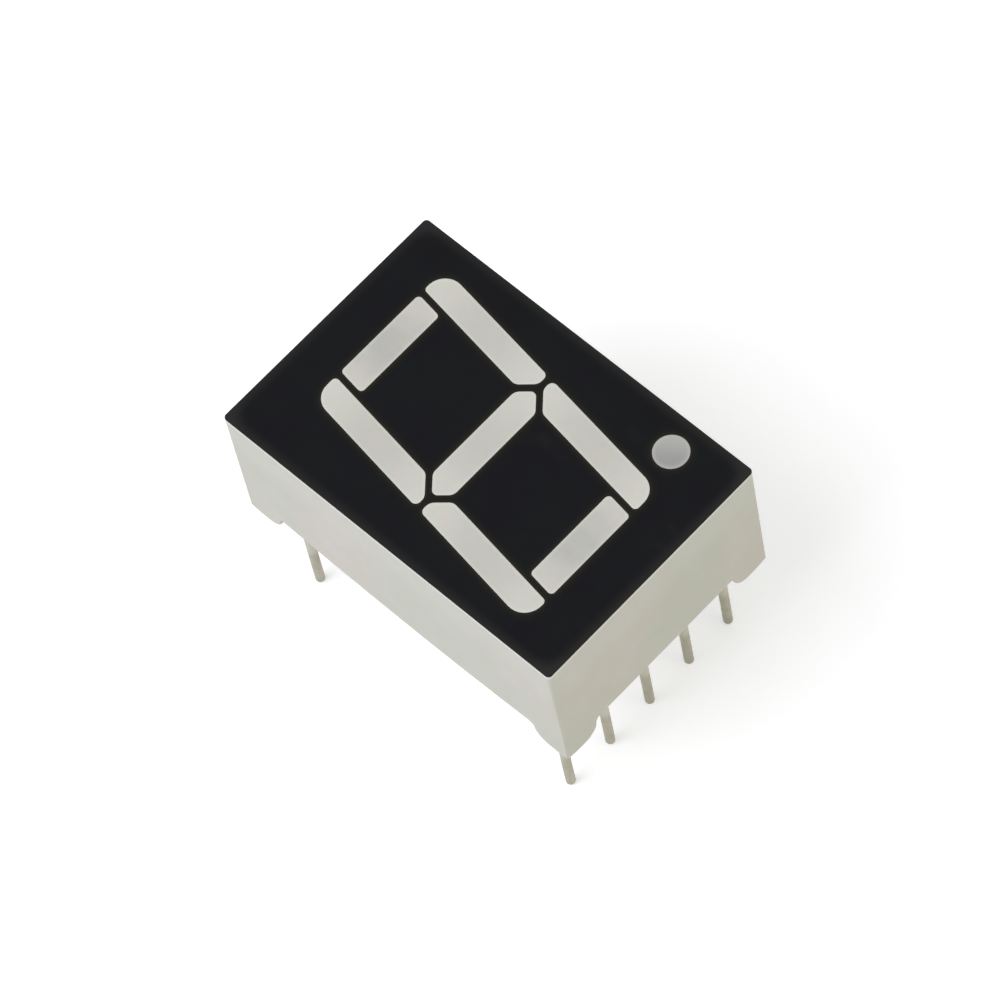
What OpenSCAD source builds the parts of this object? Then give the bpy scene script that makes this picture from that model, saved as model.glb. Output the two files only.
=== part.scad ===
// Single-digit seven segment display with a decimal point, for soldering into a board.
// The origin is midway between the pins' tips. X runs across the digit, Y up it, Z out of the face.

/* [Body] */
// Distance from the outer pins' middles to the body's sides
pin_side = 1.22; // [1.16:0.02:1.8]
// Distance from the pins' rows to the body's ends
pin_end = 1.88; // [1.7:0.02:2.6]
// Height of the body, from the feet to the front face
body_h = 8.2; // [7:0.1:10]
// Radius of the body's four upright corners
corner_r = 0.2; // [0.15:0.05:0.45]
// How far each side leans in on its way from the front face down to the feet
draft = 0.06; // [0.02:0.01:0.1]
// Thickness of the wall round the circuit board
wall_t = 0.5; // [0.4:0.02:0.56]
// Thickness of the side walls beside the light cells
side_t = 1; // [0.8:0.05:1.2]
// Thickness of the front skin above the hollows between the cells
front_t = 1; // [0.6:0.1:2]
// Thickness of the black film over the front
film_t = 0.05; // [0.03:0.01:0.1]
// Radius of the corners of the board's pocket and of the hollows between the cells
inner_r = 0.3; // [0.1:0.05:0.4]

/* [Feet] */
// Height of the feet below the sides' lower edge
foot_h = 1.05; // [0.9:0.05:1.3]
// Length of a foot along either side, up to its rounded toe
foot_l = 1.1; // [1.1:0.05:1.6]
// Radius of the rounded toe where a foot turns up to the edge
toe_r = 0.8; // [0.4:0.05:0.85]
// How far from the body's corner, along either side, a foot's heel begins to rise
heel_l = 0.84; // [0.6:0.02:0.9]
// Rise of the heel at the corner itself
heel_h = 0.16; // [0.05:0.01:0.25]
// How far the long sides' lower edge bows down at its middle
edge_bow = 0.3; // [0.1:0.05:0.5]

/* [Digit] */
// Height of the digit
digit_h = 14.14; // [13.6:0.02:14.4]
// Width of the digit, measured level
digit_w = 8.14; // [7.8:0.02:8.4]
// Thickness of the three level strokes
bar_t = 1.4; // [1.2:0.05:1.6]
// Width of the four upright strokes, measured level
post_w = 1.33; // [1.2:0.01:1.5]
// Lean of the digit, in degrees from upright
slant = 8; // [4:1:10]
// Gap between neighbouring segments
gap = 0.32; // [0.2:0.02:0.5]
// How far inside the digit's sides the mitres of the middle bar meet
mitre_in = 0.62; // [0.55:0.01:0.8]
// Radius of the digit's four outer corners
digit_r = 0.92; // [0.3:0.02:1.1]
// Radius of every other corner of a segment
window_r = 0.2; // [0.1:0.02:0.3]
// How far the digit's middle lies above the middle of the face
digit_up = 0.09; // [0:0.01:0.2]
// How far the digit's middle lies left of the middle of the face
digit_left = 0.03; // [0:0.01:0.1]
// Diameter of the decimal point
dot_d = 1.62; // [1.4:0.02:1.8]
// Distance of the decimal point's middle from the body's right side
dot_side = 1.56; // [1.4:0.02:1.64]
// Distance of the decimal point's middle from the lower row of pins
dot_row = 1.38; // [1.32:0.02:1.5]

/* [Light cells] */
// Length of the well at the back of a segment's cell
well_l = 2.2; // [1.8:0.1:3]
// Width of the well at the back of a segment's cell
well_w = 0.8; // [0.7:0.02:0.9]
// Diameter of the well at the back of the decimal point's cell
dot_well_d = 1.4; // [1.3:0.02:1.4]
// Depth of the straight part of each well
well_h = 0.3; // [0.1:0.05:0.6]
// Thickness of the wall between the top or bottom well and the pins' reliefs
well_row = 0.36; // [0.2:0.02:0.6]
// Thickness of the wall round each cell at the front
cell_wall = 0.6; // [0.4:0.05:0.8]

/* [Circuit board] */
// Thickness of the board
board_t = 1; // [0.8:0.1:1.6]
// Gap between the board's edge and the wall round it
board_gap = 0.1; // [0.04:0.01:0.12]
// Thickness of the copper
copper_t = 0.035; // [0.018, 0.035, 0.07]
// Width of the copper tracks
track_w = 0.3; // [0.2:0.02:0.36]
// Distance from the board's edge to the copper
copper_in = 0.1; // [0.05:0.01:0.14]
// Diameter of the copper pad round each pin
pin_pad_d = 0.9; // [0.8:0.02:1.04]
// Width of the copper left round each die
die_rim = 0.12; // [0.08:0.01:0.16]
// Diameter of the copper pad under each wire's landing
wire_pad_d = 0.44; // [0.36:0.02:0.5]
// Depth from the short sides' lower edge up to the potting
potting_in = 0.1; // [0.05:0.05:0.3]
// Thickness of the potting behind the board
potting_t = 0.45; // [0.3:0.05:0.8]

/* [Pins] */
// Diameter of a pin
pin_d = 0.45; // [0.4:0.01:0.5]
// Distance between neighbouring pins of a row
pin_pitch = 2.54; // [2.5:0.01:2.56]
// Distance between the two rows of pins
row_gap = 15.24; // [15.2:0.02:15.6]
// Length of the pins below the feet
pin_free = 6.6; // [3:0.1:12]
// Side of the square shank where a pin is held in the potting and the board
shank_w = 0.36; // [0.3:0.02:0.38]
// Clearance round a pin's shank in the board, filled with solder
hole_gap = 0.05; // [0.04:0.01:0.07]
// Length of a pin that stands out on the dice's side of the board
pin_proud = 0.35; // [0.3:0.05:0.45]
// Height of the solder's cone round it
solder_h = 0.25; // [0.15:0.05:0.3]
// How far the solder's cone spreads past the hole
solder_spread = 0.12; // [0.08:0.01:0.14]
// Clearance in the housing beside each solder cone
relief_side = 0.13; // [0.1:0.01:0.2]
// Clearance in the housing above each pin's end
relief_up = 0.15; // [0.1:0.05:0.3]
// Thickness of the potting's coat on a pin where it ends; its root is twice as thick
coat_t = 0.03; // [0.02:0.01:0.05]
// Height above the feet's plane at which the coat ends
coat_in = 0.05; // [0.05:0.01:0.2]
// Radius of the fillet at the coat's root
creep_r = 0.34; // [0.2:0.01:0.34]

/* [Dice] */
// Side of a die
die_w = 0.3; // [0.24:0.02:0.36]
// Height of a die
die_h = 0.2; // [0.12:0.02:0.24]
// Diameter of a bond wire
wire_d = 0.03; // [0.02:0.005:0.04]
// Distance from a die's middle to its wire's landing
wire_span = 0.8; // [0.7:0.02:0.84]

/* [Hidden] */
$fn = 48;
hull_fn = 32;
over = 1;
pins_per_row = 5;
pin_count = 2 * pins_per_row;

CELLS = ["a", "b", "c", "d", "e", "f", "g", "dp"];
SEGMENTS = [for (i = [0 : 6]) str("segment_", CELLS[i])];
DICE = [for (c = CELLS) str("led_die_", c)];
WIRES = [for (c = CELLS) str("bond_wire_", c)];
PINS = [for (n = [1 : pin_count]) str("pin_", n)];
JOINTS = [for (n = [1 : pin_count]) str("solder_joint_", n)];
BODY_NODES = ["housing", "face_film"];
BACK_NODES = ["decimal_point", "circuit_board", "copper_tracks", "back_potting"];

// Levels, from the pins' tips up to the face
seat_z = pin_free;
edge_z = seat_z + foot_h;
potting_z = edge_z + potting_in;
board_z = potting_z + potting_t;
cell_z = board_z + board_t;
face_z = seat_z + body_h;
film_z = face_z - film_t;

// The body, its pocket for the board, the board and the hollow above it
body_w = (pins_per_row - 1) * pin_pitch + 2 * pin_side;
body_l = row_gap + 2 * pin_end;
pocket_w = body_w - 2 * (draft + wall_t);
pocket_l = body_l - 2 * (draft + wall_t);
board_w = pocket_w - 2 * board_gap;
board_l = pocket_l - 2 * board_gap;
hollow_w = body_w - 2 * side_t;
hollow_l = body_l - 2 * side_t;

// The digit's driving points, in a frame that doesn't lean, from the digit's middle
half_w = digit_w / 2;
half_h = digit_h / 2;
inner_w = half_w - post_w;
post_u = half_w - post_w / 2;
post_v = half_h / 2;
bar_v = half_h - bar_t / 2;
mitre = half_w - mitre_in;
mitre_out = mitre + gap / sqrt(2);
mitre_bar = mitre - gap / sqrt(2);
dot_x = body_w / 2 - dot_side;
dot_y = dot_row - row_gap / 2;

// Pins, their holes and the solder
pin_r = pin_d / 2;
shank_r = shank_w / sqrt(2);
coat_z = seat_z + coat_in;
coat_r = shank_r + coat_t;
root_r = coat_r + coat_t;
hole_r = shank_r + hole_gap;
solder_r = hole_r + solder_spread;
relief_r = solder_r + relief_side;
relief_h = pin_proud + relief_up;
well_end = row_gap / 2 - relief_r - well_row - well_w / 2;

// Colours
PLASTIC = [0.79, 0.79, 0.74];
BLACK = [0.12, 0.12, 0.13];
RESIN = [0.77, 0.76, 0.73];
DOT_RESIN = [0.62, 0.62, 0.62];
LAMINATE = [0.86, 0.82, 0.66];
COPPER = [0.8, 0.5, 0.3];
POTTING = [0.82, 0.81, 0.76];
TIN = [0.64, 0.62, 0.55];
SOLDER = [0.7, 0.71, 0.72];
DIE = [0.75, 0.3, 0.25];
GOLD = [0.9, 0.75, 0.35];

// A point of the upright digit, moved to where it lies on the leaning one
function place(p) = [p[0] + p[1] * tan(slant) - digit_left, p[1] + digit_up];

// Middle of a cell at the face and at its well, in the upright digit's frame
function cell_uv(i) = [[0, bar_v], [post_u, post_v], [post_u, -post_v], [0, -bar_v],
    [-post_u, -post_v], [-post_u, post_v], [0, 0]][i];
function well_uv(i) = i == 0 ? [0, well_end - digit_up] : i == 3 ? [0, -well_end - digit_up] : cell_uv(i);

// The cells a, d and g lie level, and the rest stand
function is_dot(i) = i == 7;
function is_bar(i) = i == 0 || i == 3 || i == 6;
function well_at(i) = is_dot(i) ? [dot_x, dot_y] : place(well_uv(i));

// Direction from a cell's die to its wire's landing
function wire_turn(i) = (is_bar(i) ? 0 : 90 - slant) + (wire_ahead(i) ? 0 : 180);
function wire_ahead(i) = i == 0 || i == 1 || i == 5;
function along(i, d) = well_at(i) + d * [cos(wire_turn(i)), sin(wire_turn(i))];
function die_at(i) = along(i, -wire_span / 2);
function landing_at(i) = along(i, wire_span / 2);

// Pins 1 to 5 run left to right along the bottom, 6 to 10 right to left along the top
function pin_col(n) = n <= pins_per_row ? n - 1 : pin_count - n;
function pin_x(n) = (pin_col(n) - (pins_per_row - 1) / 2) * pin_pitch;
function pin_at(n) = [pin_x(n), (n <= pins_per_row ? -1 : 1) * row_gap / 2];

// Corners of each segment, in the upright digit's frame
function bar_points(w, low, high) = [[-w, low], [w, low], [w, high], [-w, high]];
function post_points(u, v) = [
    [u * inner_w, v * half_h],
    [u * half_w, v * half_h],
    [u * half_w, v * gap / 2],
    [u * (mitre_out - gap / 2), v * gap / 2],
    [u * inner_w, v * (mitre_out - inner_w)]];
function middle_points() = [
    [-mitre_bar, 0],
    [bar_t / 2 - mitre_bar, bar_t / 2],
    [mitre_bar - bar_t / 2, bar_t / 2],
    [mitre_bar, 0],
    [mitre_bar - bar_t / 2, -bar_t / 2],
    [bar_t / 2 - mitre_bar, -bar_t / 2]];
function segment_points(i) =
    i == 0 ? bar_points(inner_w - gap, half_h - bar_t, half_h)
    : i == 3 ? bar_points(inner_w - gap, -half_h, bar_t - half_h)
    : i == 6 ? middle_points()
    : post_points(sign(cell_uv(i)[0]), sign(cell_uv(i)[1]));

// Flat outlines

// A rectangle with rounded corners
module rounded_rect(w, l, r) {
    square([w - 2 * r, l], center = true);
    square([w, l - 2 * r], center = true);
    for (x = [-1, 1])
        for (y = [-1, 1])
            translate([x * (w / 2 - r), y * (l / 2 - r)]) circle(r);
}

// Rounds an outline's outer corners
module soften(r) {
    offset(r = r, $fn = hull_fn) offset(delta = -r) children();
}

// The whole digit, with its four large corners
module digit_outline() {
    soften(digit_r) polygon([for (p = bar_points(half_w, -half_h, half_h)) place(p)]);
}

// One segment's window in the face
module segment_outline(i) {
    soften(window_r) intersection() {
        digit_outline();
        polygon([for (p = segment_points(i)) place(p)]);
    }
}

// One segment's well, where its cell meets the board
module well_outline(i) {
    c = well_uv(i);
    w = (is_bar(i) ? well_l : well_w) / 2;
    l = (is_bar(i) ? well_w : well_l) / 2;
    soften(window_r) polygon([for (p = bar_points(w, -l, l)) place(c + p)]);
}

// All eight windows
module windows_outline() {
    for (i = [0 : 6]) segment_outline(i);
    translate([dot_x, dot_y]) circle(d = dot_d);
}

// The hollow between the side walls and the walls round the cells
module hollow_outline() {
    soften(inner_r) difference() {
        square([hollow_w, hollow_l], center = true);
        offset(r = cell_wall, $fn = hull_fn) windows_outline();
    }
}

// The body seen from one side: leaning walls, two feet and the lower edge between them
module side_outline(width, bow) {
    half = width / 2;
    toe = half - draft - foot_l;
    difference() {
        polygon([[-half, film_z], [draft - half, seat_z], [half - draft, seat_z], [half, film_z]]);
        difference() {
            foot_opening(toe);
            if (bow > 0) bow_outline(toe - foot_h, bow);
        }
    }
}

// The opening between two feet, whose sides are drawn as an ogee: a toe and a fillet
module foot_opening(toe) {
    fillet_r = foot_h - toe_r;
    difference() {
        translate([-toe, seat_z - over]) square([2 * toe, over + toe_r]);
        for (x = [-toe, toe]) translate([x, seat_z + toe_r]) circle(toe_r);
    }
    translate([foot_h - toe, seat_z]) square([2 * (toe - foot_h), foot_h]);
    for (x = [foot_h - toe, toe - foot_h]) translate([x, seat_z + toe_r]) circle(fillet_r);
}

// The bow of a long side's lower edge, as the foot of a large circle
module bow_outline(half, bow) {
    bow_r = (half * half + bow * bow) / (2 * bow);
    translate([0, edge_z - bow + bow_r]) circle(bow_r, $fn = 720);
}

// What a foot's heel leaves out below it, drawn along the line through two opposite corners
module heel_outline() {
    run = heel_l / sqrt(2);
    rise = heel_h * (1 + over / run);
    translate([((body_w + body_l) / 2 - 2 * draft) / sqrt(2), seat_z])
        polygon([[-run, 0], [over, rise], [over, -over], [-run, -over]]);
}

// A copper track with round corners and ends
module track(points) {
    for (k = [0 : len(points) - 2]) {
        step = points[k + 1] - points[k];
        translate(points[k]) rotate(atan2(step[1], step[0])) {
            translate([0, -track_w / 2]) square([norm(step), track_w]);
            circle(d = track_w);
        }
    }
    translate(points[len(points) - 1]) circle(d = track_w);
}

// The common net: both middle pins, the spine between them and a branch to every die
module common_net() {
    track([pin_at(8), die_at(0), die_at(6), die_at(3), pin_at(3)]);
    for (i = [1, 5]) track([die_at(i), spine_at(0, 6, die_at(i)[1])]);
    for (i = [2, 4]) track([die_at(i), spine_at(6, 3, die_at(i)[1])]);
    track([die_at(2), [die_at(7)[0], die_at(2)[1]], die_at(7)]);
    for (i = [0 : 7]) translate(die_at(i)) circle(d = die_w + 2 * die_rim);
}

// The spine's point at a height y, between the dice of cells i and j
function spine_at(i, j, y) =
    let (share = (y - die_at(i)[1]) / (die_at(j)[1] - die_at(i)[1]))
    die_at(i) + share * (die_at(j) - die_at(i));

// Each segment's own net, from its pin to the landing of its wire
module segment_nets() {
    for (net = [[0, 7], [1, 6], [2, 4], [3, 2], [4, 1], [5, 9], [7, 5]])
        track([pin_at(net[1]), landing_at(net[0])]);
    track([pin_at(10), [pin_at(10)[0], landing_at(6)[1]], landing_at(6)]);
    for (i = [0 : 7]) translate(landing_at(i)) circle(d = wire_pad_d);
}

module copper_outline() {
    intersection() {
        square([board_w - 2 * copper_in, board_l - 2 * copper_in], center = true);
        union() {
            common_net();
            segment_nets();
            for (n = [1 : pin_count]) translate(pin_at(n)) circle(d = pin_pad_d);
        }
    }
}

// Solids that more than one piece shares

// One light cell, from the face down to the board
module cell(i) {
    if (is_dot(i)) {
        translate([dot_x, dot_y, film_z]) cylinder(h = film_t, d = dot_d);
        translate([dot_x, dot_y, cell_z + well_h])
            cylinder(h = film_z - cell_z - well_h, d1 = dot_well_d, d2 = dot_d);
        translate([dot_x, dot_y, cell_z]) cylinder(h = well_h, d = dot_well_d);
    } else hull() {
        translate([0, 0, film_z]) linear_extrude(film_t) segment_outline(i);
        translate([0, 0, cell_z]) linear_extrude(well_h) well_outline(i);
    }
}

module die_block(i) {
    translate([die_at(i)[0], die_at(i)[1], cell_z + die_h / 2])
        rotate(wire_turn(i)) cube([die_w, die_w, die_h], center = true);
}

// The wire's loop, an arc that starts upright on the board and comes down through the die's top
module wire_loop(i) {
    back = die_h * die_h / (2 * wire_span);
    loop_r = wire_span / 2 + back;
    sweep = 180 - asin((die_h - wire_d) / loop_r);
    translate([well_at(i)[0], well_at(i)[1], cell_z])
        rotate(wire_turn(i))
            translate([-back, 0, 0]) rotate([90, 0, 0])
                rotate_extrude(angle = sweep) translate([loop_r, 0]) circle(d = wire_d, $fn = 24);
}

module shank(n) {
    translate([pin_at(n)[0], pin_at(n)[1], (coat_z + cell_z + pin_proud) / 2])
        cube([shank_w, shank_w, cell_z + pin_proud - coat_z], center = true);
}

module board_holes() {
    for (n = [1 : pin_count])
        translate([pin_at(n)[0], pin_at(n)[1], board_z - over]) cylinder(h = board_t + 2 * over, r = hole_r);
}

module pocket() {
    translate([0, 0, seat_z - over])
        linear_extrude(cell_z - seat_z + over) rounded_rect(pocket_w, pocket_l, inner_r);
}

// The pieces

// The moulded reflector: walls, front skin, cells, the board's pocket and four feet
module housing() {
    color(PLASTIC) difference() {
        intersection() {
            translate([0, 0, seat_z])
                linear_extrude(film_z - seat_z) rounded_rect(body_w, body_l, corner_r);
            rotate([90, 0, 0])
                linear_extrude(body_l + 2 * over, center = true) side_outline(body_w, 0);
            rotate([90, 0, 90])
                linear_extrude(body_w + 2 * over, center = true) side_outline(body_l, edge_bow);
        }
        for (turn = [45 : 90 : 315])
            rotate([90, 0, turn]) linear_extrude(2 * body_l, center = true) heel_outline();
        pocket();
        translate([0, 0, cell_z]) linear_extrude(film_z - front_t - cell_z) hollow_outline();
        for (i = [0 : 7]) cell(i);
        for (n = [1 : pin_count])
            translate([pin_at(n)[0], pin_at(n)[1], board_z]) cylinder(h = board_t + relief_h, r = relief_r);
    }
}

// The black film that frames the segments
module face_film() {
    color(BLACK) difference() {
        translate([0, 0, film_z]) linear_extrude(film_t) rounded_rect(body_w, body_l, corner_r);
        for (i = [0 : 6]) translate([0, 0, film_z - over]) linear_extrude(2 * over) segment_outline(i);
        translate([dot_x, dot_y, film_z - over]) cylinder(h = 2 * over, d = dot_d);
    }
}

// The resin that fills one cell, flush with the face, cast round the die and its wire
module cell_resin(i) {
    difference() {
        cell(i);
        die_block(i);
        wire_loop(i);
    }
}

module segment(i) {
    color(RESIN) cell_resin(i);
}

module decimal_point() {
    color(DOT_RESIN) cell_resin(7);
}

module circuit_board() {
    color(LAMINATE) difference() {
        translate([0, 0, board_z + board_t / 2]) cube([board_w, board_l, board_t], center = true);
        translate([0, 0, cell_z - copper_t]) linear_extrude(over) copper_outline();
        board_holes();
    }
}

// The etched nets, level with the board's lacquer
module copper_tracks() {
    color(COPPER) difference() {
        translate([0, 0, cell_z - copper_t]) linear_extrude(copper_t) copper_outline();
        board_holes();
    }
}

module led_die(i) {
    color(DIE) die_block(i);
}

module bond_wire(i) {
    color(GOLD) difference() {
        wire_loop(i);
        die_block(i);
    }
}

// The resin cast behind the board, which climbs down each pin as far as the feet
module back_potting() {
    color(POTTING) difference() {
        intersection() {
            pocket();
            union() {
                translate([0, 0, potting_z + body_h / 2]) cube([body_w, body_l, body_h], center = true);
                for (n = [1 : pin_count]) translate([pin_at(n)[0], pin_at(n)[1], 0]) pin_coat();
            }
        }
        translate([0, 0, board_z + board_t / 2]) cube([board_w, board_l, board_t], center = true);
        for (n = [1 : pin_count]) shank(n);
    }
}

// The potting's coat on a pin, thinning towards the feet, with a fillet at its root
module pin_coat() {
    translate([0, 0, coat_z]) cylinder(h = potting_z - creep_r - coat_z, r1 = coat_r, r2 = root_r);
    rotate_extrude() difference() {
        translate([0, potting_z - creep_r]) square([root_r + creep_r, creep_r]);
        translate([root_r + creep_r, potting_z - creep_r]) circle(creep_r);
    }
}

// A round pin with a domed tip and a square shank that can't turn in its hole
module pin(n) {
    color(TIN) {
        translate([pin_at(n)[0], pin_at(n)[1], pin_r]) {
            sphere(pin_r);
            cylinder(h = coat_z - pin_r, r = pin_r);
        }
        shank(n);
    }
}

module solder_joint(n) {
    color(SOLDER) difference() {
        translate([pin_at(n)[0], pin_at(n)[1], board_z]) {
            cylinder(h = board_t, r = hole_r);
            translate([0, 0, board_t]) cylinder(h = solder_h, r1 = solder_r, r2 = hole_r);
        }
        shank(n);
    }
}

housing();
face_film();
for (i = [0 : 6]) segment(i);
decimal_point();
circuit_board();
copper_tracks();
for (i = [0 : 7]) led_die(i);
for (i = [0 : 7]) bond_wire(i);
back_potting();
for (n = [1 : pin_count]) pin(n);
for (n = [1 : pin_count]) solder_joint(n);
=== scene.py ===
import math

import bmesh
import bpy
from mathutils import Matrix, Vector
from mathutils.kdtree import KDTree


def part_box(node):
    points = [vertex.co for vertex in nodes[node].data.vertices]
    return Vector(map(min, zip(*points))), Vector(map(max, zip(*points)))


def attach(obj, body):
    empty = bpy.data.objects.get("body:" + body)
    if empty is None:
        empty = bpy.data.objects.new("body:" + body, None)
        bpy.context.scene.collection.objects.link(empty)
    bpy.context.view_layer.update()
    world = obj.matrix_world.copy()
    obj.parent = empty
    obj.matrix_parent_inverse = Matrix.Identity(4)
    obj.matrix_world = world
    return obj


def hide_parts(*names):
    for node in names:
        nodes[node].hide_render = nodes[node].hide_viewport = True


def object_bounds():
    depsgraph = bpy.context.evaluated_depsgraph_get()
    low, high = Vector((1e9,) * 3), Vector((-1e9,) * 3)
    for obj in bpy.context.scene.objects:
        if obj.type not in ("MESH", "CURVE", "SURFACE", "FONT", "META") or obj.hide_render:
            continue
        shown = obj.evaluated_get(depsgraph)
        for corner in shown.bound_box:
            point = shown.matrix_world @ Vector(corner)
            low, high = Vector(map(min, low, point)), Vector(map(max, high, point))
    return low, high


# A seven segment display, seen from its lower left. Lengths are in metres, in the CAD model's frame:
# X runs across the digit, Y up it, Z out of its face, and the pins' tips lie in the plane z = 0.

MM = 0.001
CELLS = ("a", "b", "c", "d", "e", "f", "g")
LEVEL_CELLS = ("a", "d", "g")
# Cells whose resin takes a deeper painted shade in its middle
DEEPER_SHADE_CELLS = ("a", "d")
MITRED_CELLS = ("b", "c", "e", "f", "g")
PIN_COUNT = 10

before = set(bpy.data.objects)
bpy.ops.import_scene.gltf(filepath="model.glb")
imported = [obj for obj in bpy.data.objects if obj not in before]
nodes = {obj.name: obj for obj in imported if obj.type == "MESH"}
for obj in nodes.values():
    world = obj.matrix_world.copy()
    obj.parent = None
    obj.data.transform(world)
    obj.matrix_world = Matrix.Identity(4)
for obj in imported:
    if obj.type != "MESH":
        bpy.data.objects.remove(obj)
cad_low, cad_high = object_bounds()

# Points closer than WELD are one point
WELD = 1e-7

# Rounding of the housing's lower edges, angles in degrees. Faces that turn by less than FLAT_ANGLE are
# joined first. Then the edges that turn by more than SHARP_ANGLE are rounded, but the short upright ones
# at the feet, between faces whose normals rise by less than UPRIGHT, are closed up. At the end, edges
# shorter than SLIVER are closed up too
EDGE_RADIUS = 0.07 * MM
EDGE_STEPS = 3
SHARP_ANGLE = 35
FLAT_ANGLE = 0.3
UPRIGHT = 0.05
SLIVER = 1e-6

# A face larger than this shades flat
FLAT_AREA = 0.3 * MM * MM

# Rounding of the windows' corners round the digit's middle: blunt ones, where an outline turns by less
# than BLUNT_TURN degrees, and the keener ones not further than TIP_REACH from the middle bar's axis.
# An edge longer than STRAIGHT is one of an outline's straight sides
BLUNT_TURN = 70
BLUNT_RADIUS = 0.45 * MM
TIP_RADIUS = 0.26 * MM
TIP_REACH = 1.5 * MM
STRAIGHT = 0.2 * MM

# Camera: its direction in degrees, and how far its axis passes from the middle of the face
VIEW_AZIMUTH = 34.867
VIEW_ELEVATION = 61.937
VIEW_ROLL = -13.4
VIEW_DISTANCE = 267.5 * MM
AIM_RIGHT = 0.579 * MM
AIM_DOWN = 2.357 * MM
LENS_MM = 229.05
SENSOR_MM = 36.0

# Light: the lamps' directions are in degrees, with the azimuth counted as the camera's is
WHITE = (1.0, 1.0, 1.0, 1.0)
SKY_LIGHT = (0.5, 0.5, 0.47, 1.0)
KEY = {"azimuth": 108.0, "elevation": 52.0, "distance": 0.5, "size": 0.4,
       "power": 1.443, "colour": (0.932, 0.932, 1.0)}
FILL = {"azimuth": -25.0, "elevation": 18.0, "distance": 0.6, "size": 0.3,
        "power": 0.483, "colour": (1.0, 0.89, 0.515)}

# Floor: where it is seen, it glows by FLOOR_LIFT up to SHADOW_REACH from its middle, and fully from
# WHITE_FROM
FLOOR_COLOUR = (0.86, 0.865, 0.88, 1.0)
FLOOR_TINT = (0.94, 0.95, 1.0, 1.0)
FLOOR_LIFT = 0.42
FLOOR_HALF = 1.2
SHADOW_REACH = 30 * MM
WHITE_FROM = 110 * MM

# Materials: the samples of a bevel, and short names for the shader's sockets
BEVEL_SAMPLES = 6
SOCKETS = {"base": "Base Color", "metal": "Metallic", "rough": "Roughness", "ior": "IOR",
           "specular": "Specular IOR Level", "coat": "Coat Weight",
           "sss": "Subsurface Weight", "sss_scale": "Subsurface Scale"}


# ---------------------------------------------------------------------------------------------
# Materials. Their sizes and places are in millimetres
# ---------------------------------------------------------------------------------------------

def srgb(red, green, blue):
    """A colour given as it looks on a screen, from 0 to 255, in linear light."""
    def linear(value):
        value /= 255.0
        return value / 12.92 if value <= 0.04045 else ((value + 0.055) / 1.055) ** 2.4
    return (linear(red), linear(green), linear(blue), 1.0)


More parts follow.
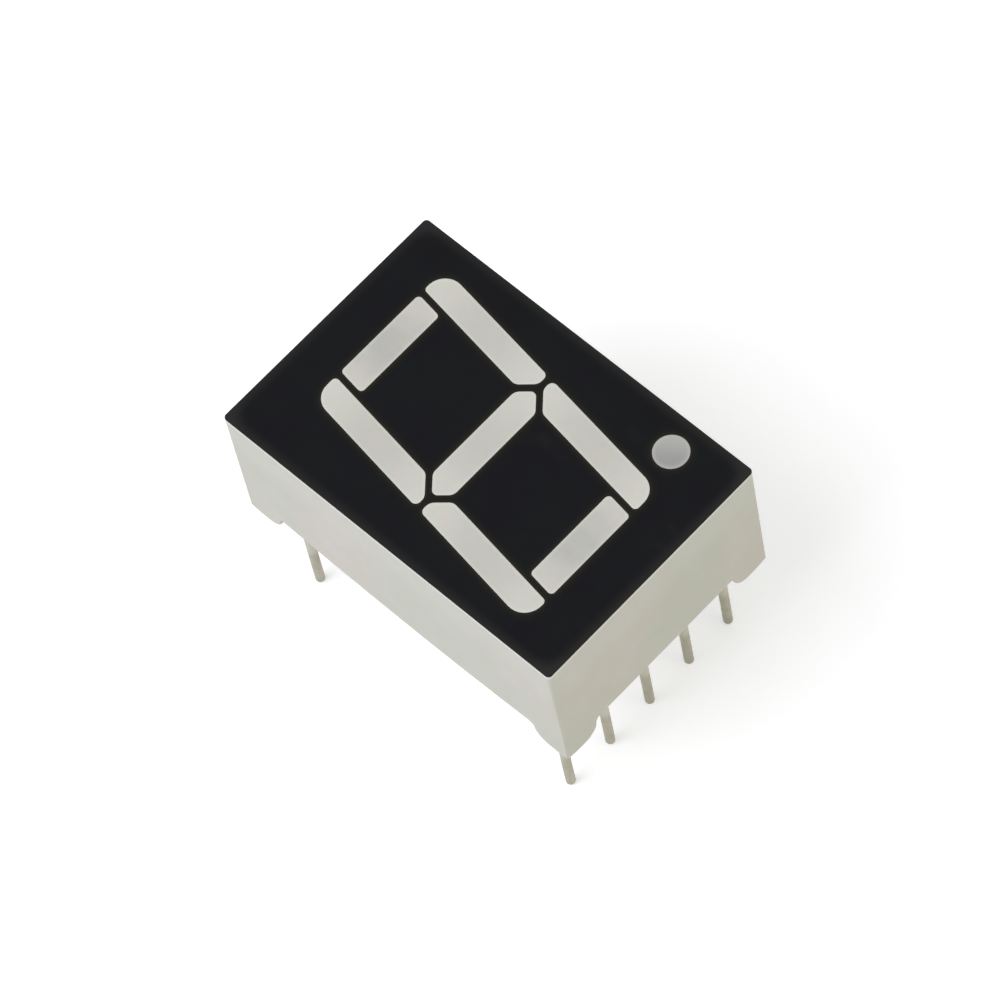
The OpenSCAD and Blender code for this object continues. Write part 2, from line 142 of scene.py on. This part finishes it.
class Recipe:
    """A procedural material, put together node by node, with its places in millimetres."""

    def __init__(self, name):
        self.material = bpy.data.materials.new(name)
        self.material.use_nodes = True
        self.tree = self.material.node_tree
        self.tree.nodes.clear()
        self.shader = self.node("ShaderNodeBsdfPrincipled")
        output = self.node("ShaderNodeOutputMaterial")
        self.link(self.shader.outputs["BSDF"], output.inputs["Surface"])
        to_mm = self.node("ShaderNodeMapping")
        to_mm.inputs["Scale"].default_value = (1.0 / MM, 1.0 / MM, 1.0 / MM)
        self.link(self.node("ShaderNodeTexCoord").outputs["Object"], to_mm.inputs["Vector"])
        self.place = to_mm.outputs["Vector"]

    def node(self, kind, **settings):
        made = self.tree.nodes.new(kind)
        for key, value in settings.items():
            setattr(made, key, value)
        return made

    def link(self, output, socket):
        self.tree.links.new(output, socket)

    def feed(self, socket, value):
        """Links a node's output to a socket, or sets a plain value on it."""
        if isinstance(value, bpy.types.NodeSocket):
            self.link(value, socket)
        else:
            socket.default_value = value

    def moved(self, offset=(0, 0, 0), stretch=(1, 1, 1)):
        """The place, after a shift and a stretch."""
        step = self.node("ShaderNodeMapping", vector_type="TEXTURE")
        self.link(self.place, step.inputs["Vector"])
        step.inputs["Location"].default_value = offset
        step.inputs["Scale"].default_value = stretch
        return step.outputs["Vector"]

    def noise(self, size, detail=3.0, roughness=0.5, at=None, seed=0.0):
        """Cloudy noise from 0 to 1, whose patches are about size millimetres across."""
        made = self.node("ShaderNodeTexNoise", noise_dimensions="4D")
        self.link(at or self.place, made.inputs["Vector"])
        made.inputs["W"].default_value = seed
        made.inputs["Scale"].default_value = 1.0 / size
        made.inputs["Detail"].default_value = detail
        made.inputs["Roughness"].default_value = roughness
        return made.outputs["Fac"]

    def scattered(self, size, at=None):
        """Distance to the nearest of scattered points that lie about size millimetres apart."""
        made = self.node("ShaderNodeTexVoronoi", feature="F1")
        self.link(at or self.place, made.inputs["Vector"])
        made.inputs["Scale"].default_value = 1.0 / size
        return made.outputs["Distance"]

    def math(self, operation, first, second=0.5, third=0.5):
        made = self.node("ShaderNodeMath", operation=operation)
        for socket, value in zip(made.inputs, (first, second, third)):
            self.feed(socket, value)
        return made.outputs[0]

    def vector(self, operation, first, second=(0, 0, 0)):
        made = self.node("ShaderNodeVectorMath", operation=operation)
        self.feed(made.inputs[0], first)
        self.feed(made.inputs[1], second)
        scalar = operation in ("DOT_PRODUCT", "LENGTH")
        return made.outputs["Value" if scalar else "Vector"]

    def axis(self, name):
        """One coordinate of the place."""
        split = self.node("ShaderNodeSeparateXYZ")
        self.link(self.place, split.inputs[0])
        return split.outputs[name]

    def off_centre(self, name, centre):
        """Distance along one axis from a coordinate."""
        return self.math("ABSOLUTE", self.math("SUBTRACT", self.axis(name), centre))

    def between(self, value, low, high, start=0.0, end=1.0):
        """start below low, end above high, and a smooth change from one to the other."""
        made = self.node("ShaderNodeMapRange", interpolation_type="SMOOTHSTEP")
        for key, number in (("Value", value), ("From Min", low), ("From Max", high),
                            ("To Min", start), ("To Max", end)):
            self.feed(made.inputs[key], number)
        return made.outputs["Result"]

    def mix(self, factor, first, second):
        made = self.node("ShaderNodeMix", data_type="RGBA", blend_type="MIX")
        self.feed(made.inputs["Factor"], factor)
        colours = [socket for socket in made.inputs if socket.type == "RGBA"]
        self.feed(colours[0], first)
        self.feed(colours[1], second)
        return next(socket for socket in made.outputs if socket.type == "RGBA")

    def faint(self, mask, share):
        """A mask, brought down to a share of its strength."""
        return self.math("MULTIPLY", mask, share)

    def rounded_normal(self, radius):
        """The surface's normal, as if its edges were rounded."""
        made = self.node("ShaderNodeBevel", samples=BEVEL_SAMPLES)
        made.inputs["Radius"].default_value = radius * MM
        return made.outputs[0]

    def edges(self, radius, low=0.02, high=0.3):
        """1 along the solid's sharp edges, within radius millimetres, and 0 elsewhere."""
        true_normal = self.node("ShaderNodeNewGeometry").outputs["True Normal"]
        facing = self.vector("DOT_PRODUCT", self.rounded_normal(radius), true_normal)
        return self.between(self.math("SUBTRACT", 1.0, facing), low, high)

    def relief(self, height, depth, strength, radius=0.0):
        """Bumps depth millimetres high, over edges rounded to radius millimetres."""
        bump = self.node("ShaderNodeBump")
        bump.inputs["Distance"].default_value = depth * MM
        bump.inputs["Strength"].default_value = strength
        self.link(height, bump.inputs["Height"])
        if radius:
            self.link(self.rounded_normal(radius), bump.inputs["Normal"])
        self.link(bump.outputs["Normal"], self.shader.inputs["Normal"])

    def finish(self, **values):
        """The material, after its shader's sockets are set or linked by their short names."""
        for key, value in values.items():
            self.feed(self.shader.inputs[SOCKETS[key]], value)
        return self.material


def moulded_plastic():
    """The reflector's warm white plastic: a fine satin skin with faint flow marks, paler along its edges
    from light wear and a painted highlight, and with a painted highlight in a band just under the film.
    """
    cool, warm = srgb(199, 201, 191), srgb(206, 201, 194)
    patch, upper = srgb(199, 197, 186), srgb(207, 208, 200)
    # A paler tone along the sharp edges, partly light wear and partly a painted highlight, and a painted
    # highlight for the band just under the film, where the top edge catches the light
    edge, top_edge_highlight = srgb(224, 223, 217), srgb(230, 230, 226)
    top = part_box("housing")[1].z / MM
    upper_from, upper_full = top - 2.6, top - 0.2
    highlight_from, highlight_full = top - 0.28, top - 0.12
    r = Recipe("reflector_plastic")
    flow = r.noise(5.0, detail=2.0, at=r.moved(stretch=(1.0, 1.0, 2.5)))
    patches = r.noise(1.4, detail=4.0, roughness=0.6, seed=3.0)
    grain = r.noise(0.07, detail=3.0, seed=7.0)
    level = r.math("MULTIPLY_ADD", flow, 1.5, r.axis("Z"))
    colour = r.mix(r.between(flow, 0.4, 0.6), cool, warm)
    colour = r.mix(r.between(patches, 0.3, 0.75, 0.0, 0.35), colour, patch)
    colour = r.mix(r.between(level, upper_from, upper_full, 0.0, 0.6), colour, upper)
    # Paler along the sharp edges: partly light wear, partly a painted highlight where they catch the light
    colour = r.mix(r.faint(r.edges(0.22), 0.6), colour, edge)
    # Painted highlight: a pale band just under the film, where the top edge catches the light
    colour = r.mix(r.between(r.axis("Z"), highlight_from, highlight_full, 0.0, 0.8), colour, top_edge_highlight)
    r.relief(r.math("MULTIPLY_ADD", grain, 0.6, r.faint(patches, 0.4)), 0.004, 0.5, radius=0.12)
    return r.finish(base=colour, rough=r.between(patches, 0.2, 0.8, 0.46, 0.6), ior=1.5,
                    specular=0.4, sss=0.12, sss_scale=0.4 * MM)


def black_film():
    """The printed black front: matte, with a trace of texture, browner by its windows (partly the ink's
    edge, partly painted light from the pale windows), paler at its rim.
    """
    violet, slate = srgb(11, 10, 17), srgb(13, 16, 18)
    smear, speck = srgb(38, 36, 33), srgb(90, 88, 84)
    rim, corner = srgb(36, 36, 37), srgb(44, 44, 45)
    # Browns by the windows, partly the ink's edge and partly painted light from the pale windows. Each
    # brown has its reach from an edge, the bounds of its mask, and its tone
    browns = ((0.5, 0.003, 0.08, srgb(32, 29, 21)),
              (0.3, 0.002, 0.04, srgb(38, 34, 26)),
              (0.16, 0.0005, 0.01, srgb(43, 39, 28)))
    low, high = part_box("face_film")
    half = (high - low) / (2.0 * MM)
    middle = (high + low) / (2.0 * MM)
    r = Recipe("face_film_black")
    clouds = r.noise(3.0, detail=4.0, roughness=0.6)
    grain = r.noise(0.06, detail=2.0, seed=5.0)
    smears = r.between(r.noise(1.3, detail=3.0, at=r.moved(stretch=(1.0, 1.8, 1.0)), seed=2.0), 0.62, 0.85)
    specks = r.between(r.scattered(0.9), 0.0, 0.035, 1.0, 0.0)
    from_x = r.math("SUBTRACT", half.x, r.off_centre("X", middle.x))
    from_y = r.math("SUBTRACT", half.y, r.off_centre("Y", middle.y))
    inside = r.math("MULTIPLY", r.between(from_x, -0.1, 0.6), r.between(from_y, -0.1, 0.6))
    at_corner = r.between(r.math("ADD", from_x, from_y), 0.4, 1.6, 0.6, 0.0)
    colour = r.mix(r.between(clouds, 0.3, 0.7), violet, slate)
    colour = r.mix(r.faint(smears, 0.4), colour, smear)
    # Painted light in part: the film turns brown near the pale windows, where their light bleeds onto it,
    # as well as at the ink's edge
    for reach, start, full, brown in browns:
        colour = r.mix(r.edges(reach, start, full), colour, brown)
    colour = r.mix(r.faint(r.math("SUBTRACT", 1.0, inside), 0.85), colour, rim)
    colour = r.mix(at_corner, colour, corner)
    colour = r.mix(r.faint(specks, 0.12), colour, speck)
    r.relief(r.math("MULTIPLY_ADD", grain, 0.7, clouds), 0.003, 0.4, radius=0.03)
    return r.finish(base=colour, rough=r.between(clouds, 0.3, 0.7, 0.5, 0.62), ior=1.45,
                    specular=0.12)


def cell_resin(cell):
    """Milky resin over a slanted well, with painted shade: cooler and deeper above the die, where the well
    is deepest, and paler at the ends.
    """
    deeper_shade = cell in DEEPER_SHADE_CELLS
    # Painted shade: greyer and cooler in the middle, over the deepest part of the well above the die, paler
    # at the ends, and deeper for the cells a and d
    middle = srgb(192, 192, 190) if deeper_shade else srgb(204, 203, 199)
    end = srgb(212, 209, 206) if deeper_shade else srgb(218, 217, 212)
    cloud, rim = srgb(206, 205, 194), srgb(232, 229, 222)
    long_axis = 0 if cell in LEVEL_CELLS else 1
    low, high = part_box(f"segment_{cell}")
    centre = (low + high) / (2.0 * MM)
    half = (high - low)[long_axis] / (2.0 * MM)
    r = Recipe(f"resin_{cell}")
    along = r.math("DIVIDE", r.off_centre("XYZ"[long_axis], centre[long_axis]), half)
    mottle = r.noise(0.9, detail=3.0, roughness=0.55, seed=float(ord(cell)))
    fine = r.noise(0.09, detail=2.0, seed=2.0)
    reach = r.math("ADD", along, r.faint(r.math("SUBTRACT", mottle, 0.5), 0.55))
    # Painted shade, fading from the middle out to the ends
    colour = r.mix(r.between(reach, 0.1, 0.98), middle, end)
    colour = r.mix(r.between(mottle, 0.35, 0.7, 0.0, 0.35), colour, cloud)
    colour = r.mix(r.faint(r.edges(0.3, 0.004, 0.1), 0.5), colour, rim)
    r.relief(r.math("MULTIPLY_ADD", fine, 0.5, mottle), 0.004, 0.35, radius=0.04)
    return r.finish(base=colour, rough=r.between(mottle, 0.3, 0.7, 0.34, 0.46), ior=1.5,
                    specular=0.3, sss=0.15, sss_scale=0.5 * MM)


def dot_resin():
    """The decimal point's resin: a neutral grey, the painted shade of its narrow well, painted lit on one
    side and shaded on the other, with a paler rim.
    """
    shaded, lit, rim = srgb(163, 163, 163), srgb(181, 181, 180), srgb(192, 192, 190)
    to_light = (0.8, 0.6, 0)
    low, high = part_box("decimal_point")
    centre = (low + high) / (2.0 * MM)
    radius = (high - low).x / (2.0 * MM)
    r = Recipe("resin_dp")
    flat = r.vector("MULTIPLY", r.vector("SUBTRACT", r.place, tuple(centre)), (1, 1, 0))
    out = r.math("DIVIDE", r.vector("LENGTH", flat), radius)
    side = r.between(r.vector("DOT_PRODUCT", flat, to_light), -0.4, 0.6)
    mottle = r.noise(0.5, detail=2.0, seed=4.0)
    # Painted light and shade: lit on the side towards to_light, shaded on the other
    colour = r.mix(side, shaded, lit)
    colour = r.mix(r.between(out, 0.72, 0.98, 0.0, 0.6), colour, rim)
    r.relief(mottle, 0.004, 0.35, radius=0.04)
    return r.finish(base=colour, rough=0.38, ior=1.5, specular=0.3, sss=0.1, sss_scale=0.4 * MM)


def tinned_pin():
    """Dull tin plate: drawn lines along the pin, stained at its tip, and brighter near the body, partly
    from a brighter plating and partly as a painted reflection of the pale body.
    """
    light, dark = srgb(178, 172, 154), srgb(169, 166, 147)
    stained, bright, drawn = srgb(146, 144, 127), srgb(194, 191, 178), srgb(200, 197, 186)
    stained_to = 0.45
    bright_from, bright_full = 2.6, 3.2
    r = Recipe("pin_tinned")
    lines = r.noise(0.05, detail=3.0, at=r.moved(stretch=(1.0, 1.0, 14.0)))
    stains = r.noise(0.45, detail=4.0, roughness=0.65, seed=9.0)
    level = r.math("ADD", r.axis("Z"), r.faint(r.math("SUBTRACT", stains, 0.5), 0.5))
    colour = r.mix(r.between(stains, 0.3, 0.7), light, dark)
    colour = r.mix(r.between(level, 0.0, stained_to, 0.5, 0.0), colour, stained)
    # Brighter near the body: partly a brighter plating, partly a painted reflection of the pale body
    colour = r.mix(r.between(level, bright_from, bright_full), colour, bright)
    colour = r.mix(r.between(lines, 0.35, 0.7, 0.0, 0.25), colour, drawn)
    r.relief(r.math("MULTIPLY_ADD", lines, 0.7, stains), 0.006, 0.5, radius=0.03)
    return r.finish(base=colour, metal=0.55, rough=r.between(stains, 0.3, 0.7, 0.42, 0.6))


def potting():
    """The resin behind the board: milky and glossy, with a few bubbles under its skin."""
    pale, dull, bubble = srgb(214, 210, 194), srgb(203, 200, 184), srgb(228, 226, 214)
    r = Recipe("potting_resin")
    waves = r.noise(2.6, detail=2.0)
    cloud = r.noise(1.1, detail=4.0, roughness=0.6, seed=6.0)
    bubbles = r.between(r.scattered(1.3, at=r.moved(offset=(0.4, 0.2, 0.0))), 0.05, 0.12, 1.0, 0.0)
    colour = r.mix(r.between(cloud, 0.3, 0.7), pale, dull)
    colour = r.mix(r.faint(bubbles, 0.5), colour, bubble)
    r.relief(r.math("MULTIPLY_ADD", bubbles, 0.4, waves), 0.03, 0.6, radius=0.05)
    return r.finish(base=colour, rough=r.between(cloud, 0.3, 0.7, 0.16, 0.28), ior=1.5,
                    specular=0.5, coat=0.3, sss=0.2, sss_scale=0.5 * MM)


def laminate():
    """The board's glass cloth under lacquer."""
    hollow, thread, fibre = srgb(196, 184, 138), srgb(214, 204, 162), srgb(182, 172, 128)
    weave_pitch = 0.5
    r = Recipe("board_laminate")
    across, up = (r.math("SINE", r.math("MULTIPLY", r.axis(name), 2 * math.pi / weave_pitch))
                  for name in "XY")
    weave = r.math("MULTIPLY", across, up)
    fibres = r.noise(0.2, detail=3.0)
    colour = r.mix(r.between(weave, -0.8, 0.8), hollow, thread)
    colour = r.mix(r.between(fibres, 0.35, 0.7, 0.0, 0.3), colour, fibre)
    r.relief(r.math("MULTIPLY_ADD", weave, 0.5, fibres), 0.006, 0.4)
    return r.finish(base=colour, rough=r.between(fibres, 0.3, 0.7, 0.35, 0.5), ior=1.5, coat=0.2)


def metal(name, main, worn, size, roughness):
    """A metal with patches of a second tone, about size millimetres across, and fine scratches."""
    r = Recipe(name)
    patches = r.noise(size, detail=4.0, roughness=0.6)
    lines = r.noise(size / 6, detail=2.0, at=r.moved(stretch=(8.0, 1.0, 1.0)))
    colour = r.mix(r.between(patches, 0.35, 0.7), main, worn)
    r.relief(r.math("MULTIPLY_ADD", lines, 0.5, patches), 0.004, 0.4, radius=0.02)
    return r.finish(base=colour, metal=1.0,
                    rough=r.between(patches, 0.3, 0.7, roughness, roughness + 0.15))


def die_chip():
    """A die: dark red crystal with sawn, slightly rough sides."""
    red, dark, edge = srgb(150, 66, 52), srgb(120, 52, 46), srgb(190, 120, 100)
    r = Recipe("led_die")
    saw = r.noise(0.03, detail=2.0, at=r.moved(stretch=(6.0, 6.0, 1.0)))
    patches = r.noise(0.15, detail=2.0, seed=8.0)
    colour = r.mix(r.between(patches, 0.35, 0.7), red, dark)
    colour = r.mix(r.edges(0.02), colour, edge)
    r.relief(saw, 0.002, 0.5)
    return r.finish(base=colour, rough=r.between(saw, 0.3, 0.7, 0.2, 0.4), ior=1.5, specular=0.6)


# ---------------------------------------------------------------------------------------------
# Pieces
# ---------------------------------------------------------------------------------------------

def welded(node):
    """A CAD node's mesh, ready for changes, with its coinciding points joined."""
    solid = bmesh.new()
    solid.from_mesh(nodes[node].data)
    bmesh.ops.remove_doubles(solid, verts=solid.verts, dist=WELD)
    return solid


def settle_normals(mesh):
    """Flat faces shade flat, and the small faces round them shade smoothly into them."""
    mesh.shade_smooth()
    around = [[] for _ in mesh.vertices]
    for face in mesh.polygons:
        for vertex in face.vertices:
            around[vertex].append(face)
    blend_limit = math.cos(math.radians(SHARP_ANGLE))
    normals = []
    for face in mesh.polygons:
        for vertex in face.vertices:
            near = [other for other in around[vertex] if other.normal.dot(face.normal) > blend_limit]
            largest = max(near, key=lambda other: other.area)
            if face.area > FLAT_AREA:
                normals.append(face.normal)
            elif largest.area > FLAT_AREA:
                normals.append(largest.normal)
            else:
                normals.append(sum((other.normal * other.area for other in near), Vector()).normalized())
    mesh.normals_split_custom_set(normals)


def rounded_mesh(node, name, radius):
    """A copy of a CAD node's mesh whose sharp lower edges are rounded."""
    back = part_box("circuit_board")[0].z
    solid = welded(node)
    bmesh.ops.dissolve_limit(solid, angle_limit=math.radians(FLAT_ANGLE), use_dissolve_boundaries=False,
                             verts=solid.verts, edges=solid.edges, delimit={"NORMAL"})
    sharp = [edge for edge in solid.edges if edge.is_convex
             and edge.calc_face_angle() > math.radians(SHARP_ANGLE)
             and max(vertex.co.z for vertex in edge.verts) < back]
    upright = [edge for edge in sharp if max(abs(face.normal.z) for face in edge.link_faces) < UPRIGHT]
    bmesh.ops.collapse(solid, edges=upright)
    sharp = [edge for edge in sharp if edge.is_valid]
    bmesh.ops.bevel(solid, geom=sharp, offset=radius, offset_type="OFFSET", segments=EDGE_STEPS,
                    profile=0.5, affect="EDGES", clamp_overlap=True)
    bmesh.ops.dissolve_degenerate(solid, dist=SLIVER, edges=solid.edges)
    mesh = bpy.data.meshes.new(name)
    solid.to_mesh(mesh)
    solid.free()
    settle_normals(mesh)
    return mesh


def top_outline(node):
    """The points round a solid's top face, in order."""
    solid = welded(node)
    top = max(vertex.co.z for vertex in solid.verts)
    level = {face for face in solid.faces if min(vertex.co.z for vertex in face.verts) > top - WELD}
    following = {}
    for face in level:
        for corner in face.loops:
            if corner.link_loop_radial_next.face not in level:
                following[corner.vert] = corner.link_loop_next.vert
    outline = [next(iter(following))]
    while following[outline[-1]] is not outline[0]:
        outline.append(following[outline[-1]])
    points = [vertex.co.to_2d() for vertex in outline]
    solid.free()
    return points


def rounder_places(points):
    """Each point of an outline's corners round the digit's middle, with its place once they are rounder."""
    bar_low, bar_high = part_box("segment_g")
    bar_axis = (bar_low.y + bar_high.y) / 2
    count = len(points)
    sides = [i for i in range(count) if (points[(i + 1) % count] - points[i]).length > STRAIGHT]
    places = []
    for side, last in zip(sides, sides[1:] + sides[:1]):
        first = (side + 1) % count
        ahead = (points[first] - points[side]).normalized()
        turn = ahead.angle(points[(last + 1) % count] - points[last])
        reach = (points[last] - points[first]).length / (2 * math.cos(turn / 2))
        corner = points[first] + ahead * reach
        blunt = turn < math.radians(BLUNT_TURN)
        if not blunt and abs(corner.y - bar_axis) > TIP_REACH:
            continue
        growth = (BLUNT_RADIUS if blunt else TIP_RADIUS) * math.tan(turn / 2) / reach
        for step in range((last - first) % count + 1):
            point = points[(first + step) % count]
            places.append((point, corner + (point - corner) * growth))
    return places


def rounder_mesh(node, name, places):
    """A copy of a CAD node's mesh, its points at the windows' corners moved to rounder ones."""
    mesh = nodes[node].data.copy()
    mesh.name = name
    near = KDTree(len(places))
    for index, (point, _) in enumerate(places):
        near.insert(point.to_3d(), index)
    near.balance()
    film_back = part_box("face_film")[0].z
    for vertex in mesh.vertices:
        _, index, distance = near.find((vertex.co.x, vertex.co.y, 0.0))
        if vertex.co.z > film_back - WELD and distance < WELD:
            vertex.co.xy = places[index][1]
    return mesh


def cover(mesh, material):
    """Gives a mesh its only material."""
    mesh.materials.clear()
    mesh.materials.append(material)


def stand_in(node, name, mesh, material):
    """A piece that stands for a CAD node, with its finish."""
    cover(mesh, material)
    piece = bpy.data.objects.new(name, mesh)
    bpy.context.scene.collection.objects.link(piece)
    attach(piece, "root")
    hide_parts(node)


def dress(node, material):
    """Gives a CAD node its finish."""
    cover(nodes[node].data, material)


def dress_all():
    """Gives every node its finish, and makes the pieces that stand for seven of them."""
    stand_in("housing", "housing_rounded", rounded_mesh("housing", "housing_rounded", EDGE_RADIUS),
             moulded_plastic())
    corners = {cell: rounder_places(top_outline(f"segment_{cell}")) for cell in MITRED_CELLS}
    every_corner = [place for cell in MITRED_CELLS for place in corners[cell]]
    stand_in("face_film", "film_rounded", rounder_mesh("face_film", "film_rounded", every_corner),
             black_film())
    for cell in CELLS:
        node, name = f"segment_{cell}", f"segment_{cell}_rounded"
        if cell in MITRED_CELLS:
            stand_in(node, name, rounder_mesh(node, name, corners[cell]), cell_resin(cell))
        else:
            dress(node, cell_resin(cell))
    dress("decimal_point", dot_resin())
    dress("back_potting", potting())
    dress("circuit_board", laminate())
    copper = metal("copper_etched", srgb(206, 132, 92), srgb(176, 104, 72), size=0.4, roughness=0.3)
    dress("copper_tracks", copper)
    pin, chip = tinned_pin(), die_chip()
    gold = metal("bond_gold", srgb(232, 198, 110), srgb(214, 176, 92), size=0.1, roughness=0.2)
    solder = metal("solder_bright", srgb(196, 198, 200), srgb(172, 174, 178), size=0.3, roughness=0.22)
    for cell in (*CELLS, "dp"):
        dress(f"led_die_{cell}", chip)
        dress(f"bond_wire_{cell}", gold)
    for number in range(1, PIN_COUNT + 1):
        dress(f"pin_{number}", pin)
        dress(f"solder_joint_{number}", solder)


# ---------------------------------------------------------------------------------------------
# Stage
# ---------------------------------------------------------------------------------------------

def background_rays(tree):
    """1 for the rays that show the background: from the camera, in a gloss or through glass."""
    path = tree.nodes.new("ShaderNodeLightPath")
    total = path.outputs["Is Camera Ray"]
    for name in ("Is Glossy Ray", "Is Transmission Ray"):
        step = tree.nodes.new("ShaderNodeMath")
        step.operation = "MAXIMUM"
        tree.links.new(total, step.inputs[0])
        tree.links.new(path.outputs[name], step.inputs[1])
        total = step.outputs[0]
    return total


def make_sky():
    """An even sky: a plain level of light on the object, and white where it is seen."""
    world = bpy.data.worlds.new("sky")
    bpy.context.scene.world = world
    world.use_nodes = True
    tree = world.node_tree
    tree.nodes.clear()
    output = tree.nodes.new("ShaderNodeOutputWorld")
    sky = tree.nodes.new("ShaderNodeBackground")
    seen = tree.nodes.new("ShaderNodeMixRGB")
    seen.inputs["Color1"].default_value = SKY_LIGHT
    seen.inputs["Color2"].default_value = WHITE
    tree.links.new(background_rays(tree), seen.inputs["Fac"])
    tree.links.new(seen.outputs["Color"], sky.inputs["Color"])
    tree.links.new(sky.outputs["Background"], output.inputs["Surface"])


def floor_paper():
    """White paper that glows a little where it is seen, and more the further it lies from the object."""
    material = bpy.data.materials.new("floor_white")
    material.use_nodes = True
    tree = material.node_tree
    tree.nodes.clear()
    output = tree.nodes.new("ShaderNodeOutputMaterial")
    paper = tree.nodes.new("ShaderNodeBsdfDiffuse")
    glow = tree.nodes.new("ShaderNodeEmission")
    both = tree.nodes.new("ShaderNodeAddShader")
    place = tree.nodes.new("ShaderNodeTexCoord")
    distance = tree.nodes.new("ShaderNodeVectorMath")
    distance.operation = "LENGTH"
    fade = tree.nodes.new("ShaderNodeMapRange")
    for key, value in (("From Min", SHADOW_REACH), ("From Max", WHITE_FROM),
                       ("To Min", FLOOR_LIFT), ("To Max", 1.0)):
        fade.inputs[key].default_value = value
    lift = tree.nodes.new("ShaderNodeMath")
    lift.operation = "MULTIPLY"
    paper.inputs["Color"].default_value = FLOOR_COLOUR
    glow.inputs["Color"].default_value = FLOOR_TINT
    tree.links.new(place.outputs["Object"], distance.inputs[0])
    tree.links.new(distance.outputs["Value"], fade.inputs["Value"])
    tree.links.new(background_rays(tree), lift.inputs[0])
    tree.links.new(fade.outputs["Result"], lift.inputs[1])
    tree.links.new(lift.outputs[0], glow.inputs["Strength"])
    tree.links.new(paper.outputs[0], both.inputs[0])
    tree.links.new(glow.outputs[0], both.inputs[1])
    tree.links.new(both.outputs[0], output.inputs["Surface"])
    return material


def make_floor():
    """A pale floor that looks white in the open and keeps the object's soft shadow."""
    mesh = bpy.data.meshes.new("floor")
    corners = [(x * FLOOR_HALF, y * FLOOR_HALF, 0.0) for x, y in ((-1, -1), (1, -1), (1, 1), (-1, 1))]
    mesh.from_pydata(corners, [], [(0, 1, 2, 3)])
    mesh.materials.append(floor_paper())
    floor = bpy.data.objects.new("floor", mesh)
    bpy.context.scene.collection.objects.link(floor)
    floor.location.z = cad_low.z


def sight(azimuth, elevation):
    """The direction of a look at the object from an azimuth and an elevation, in degrees."""
    turn, rise = math.radians(azimuth), math.radians(elevation)
    return Vector((math.sin(turn) * math.cos(rise), math.cos(turn) * math.cos(rise), -math.sin(rise)))


def make_softbox(name, azimuth, elevation, distance, size, power, colour):
    """A square lamp that faces the object."""
    centre = (cad_low + cad_high) / 2
    ahead = sight(azimuth, elevation)
    data = bpy.data.lights.new(name, "AREA")
    data.shape = "SQUARE"
    data.size = size
    data.energy = power
    data.color = colour
    lamp = bpy.data.objects.new(name, data)
    bpy.context.scene.collection.objects.link(lamp)
    lamp.location = centre - ahead * distance
    lamp.rotation_euler = ahead.to_track_quat("-Z", "Y").to_euler()


def make_camera():
    """The photograph's view: a long lens, turned a little about its own axis."""
    low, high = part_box("face_film")
    face_middle = Vector(((low.x + high.x) / 2, (low.y + high.y) / 2, high.z))
    ahead = sight(VIEW_AZIMUTH, VIEW_ELEVATION)
    level = ahead.cross(Vector((0, 0, 1))).normalized()
    right = Matrix.Rotation(math.radians(VIEW_ROLL), 3, -ahead) @ level
    up = right.cross(ahead)
    data = bpy.data.cameras.new("camera")
    data.lens = LENS_MM
    data.sensor_width = SENSOR_MM
    camera = bpy.data.objects.new("camera", data)
    bpy.context.scene.collection.objects.link(camera)
    place = face_middle + right * AIM_RIGHT - up * AIM_DOWN - ahead * VIEW_DISTANCE
    turned = Matrix((right, up, -ahead)).transposed().to_4x4()
    camera.matrix_world = Matrix.Translation(place) @ turned
    bpy.context.scene.camera = camera


dress_all()
make_sky()
make_floor()
make_softbox("key", **KEY)
make_softbox("fill", **FILL)
make_camera()
bpy.context.scene.view_settings.view_transform = "Standard"
